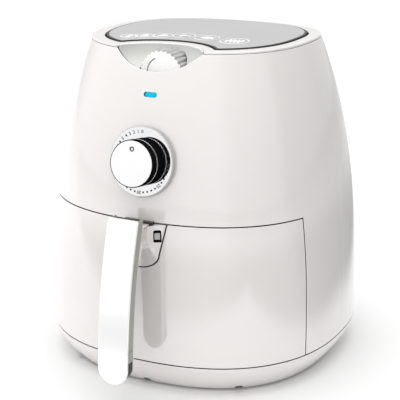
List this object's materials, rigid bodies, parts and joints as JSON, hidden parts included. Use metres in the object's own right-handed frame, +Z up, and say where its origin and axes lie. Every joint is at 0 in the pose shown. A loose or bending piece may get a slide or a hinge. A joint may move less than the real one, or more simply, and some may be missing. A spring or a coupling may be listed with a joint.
{
  "type": "air fryer",
  "caption": "Compact air fryer: tapered squircle shell, pull-out pan and basket with a hanging handle, chrome timer dial and scooped temperature dial.",
  "frame": {"origin": "on the standing surface, under the middle of the whole object's bounding box (handle included)", "axes": "+Z up, -Y towards the front with the handle, +X to the right as seen from the front"},
  "size_m": [0.2896, 0.3394, 0.3112],
  "materials": {
    "shell_white": "glossy injection-moulded white",
    "scoop_grey": "satin light grey",
    "lid_silver": "satin silver lacquer",
    "cover_silver": "bright silver-white lacquer",
    "trim_grey": "grey gloss",
    "chrome": "mirror-polished plating",
    "dark_plastic": "fine texture",
    "smoked_guard": "smoked, glossy",
    "inner_plastic": "moulded, matt",
    "nonstick": "speckled non-stick coating",
    "sheet_steel": "rolled sheet",
    "element_sheath": "heat-darkened sheath",
    "steel": "plated",
    "motor_iron": "bare laminations",
    "rubber": "matt",
    "lamp_lens": "clear cyan, lit"
  },
  "bodies": {
    "housing": {"housing_shell": "shell_white", "top_cover": "shell_white", "lid_panel": "lid_silver", "dial_recess": "scoop_grey", "base_tray": "shell_white", "foot_front_left": "rubber", "foot_front_right": "rubber", "foot_rear_left": "rubber", "foot_rear_right": "rubber", "base_screw_front_left": "steel", "base_screw_front_right": "steel", "base_screw_rear_left": "steel", "base_screw_rear_right": "steel", "rear_vent": "dark_plastic", "cord_gland": "dark_plastic", "bay_frame": "inner_plastic", "guide_rail_left": "steel", "guide_rail_right": "steel", "drawer_switch": "dark_plastic", "terminal_block": "scoop_grey", "heat_chamber": "sheet_steel", "exhaust_duct": "sheet_steel", "heating_element": "element_sheath", "heat_shield": "sheet_steel", "thermostat_bulb": "steel", "fan_motor": "motor_iron", "motor_bridge": "sheet_steel", "timer_unit": "steel", "thermostat_unit": "scoop_grey", "indicator_lens": "lamp_lens", "indicator_lamp": "scoop_grey"},
    "rotor": {"motor_shaft": "steel", "hot_air_fan": "sheet_steel", "cooling_fan": "inner_plastic", "fan_nut": "steel"},
    "timer_dial_body": {"timer_dial": "chrome", "timer_knob": "chrome", "timer_shaft": "steel"},
    "thermostat_dial_body": {"thermostat_knob": "shell_white", "thermostat_shaft": "steel"},
    "drawer": {"drawer_front": "shell_white", "pan": "nonstick", "pan_bracket_left": "steel", "pan_bracket_right": "steel", "basket": "nonstick", "basket_hanger": "steel", "handle_body": "shell_white", "handle_trim": "trim_grey", "handle_end_cap": "dark_plastic", "handle_cover": "cover_silver", "handle_screw_upper": "steel", "handle_screw_lower": "steel", "button_spring": "steel"},
    "guard": {"button_guard": "smoked_guard"},
    "button": {"release_button": "trim_grey"},
    "latch": {"latch_lever": "steel"},
    "plunger": {"switch_plunger": "trim_grey"}
  },
  "joints": [
    {"name": "drawer_slide", "type": "slide", "parent": "housing", "child": "drawer", "axis": [0, -1, 0], "range_m": [0, 0.24]},
    {"name": "timer_turn", "type": "hinge", "parent": "housing", "child": "timer_dial_body", "pos_m": [0, -0.1064, 0.215], "axis": [0, 0.989, -0.1478], "range_deg": [0, 270]},
    {"name": "thermostat_turn", "type": "hinge", "parent": "housing", "child": "thermostat_dial_body", "pos_m": [0, -0.0717, 0.2873], "axis": [0, 1, 0], "range_deg": [0, 270]},
    {"name": "fan_spin", "type": "hinge", "parent": "housing", "child": "rotor", "pos_m": [0, 0.0249, 0.25], "axis": [0, 0, 1], "continuous": true},
    {"name": "guard_slide", "type": "slide", "parent": "drawer", "child": "guard", "axis": [0, -1, 0], "range_m": [0, 0.0135]},
    {"name": "button_press", "type": "slide", "parent": "drawer", "child": "button", "axis": [0, 0, -1], "range_m": [0, 0.003], "stiffness_N_per_m": 500, "springref_m": -0.001, "deforming": ["button_spring"]},
    {"name": "latch_turn", "type": "hinge", "parent": "drawer", "child": "latch", "pos_m": [0, -0.1146, 0.144], "axis": [1, 0, 0], "range_deg": [0, 19.4]},
    {"name": "plunger_press", "type": "slide", "parent": "housing", "child": "plunger", "axis": [0, 1, 0], "range_m": [0, 0.002], "stiffness_N_per_m": 200, "springref_m": -0.001}
  ],
  "couplings": [
    {"joint": "latch_turn", "follows": "button_press", "rad_per_m": 112}
  ]
}
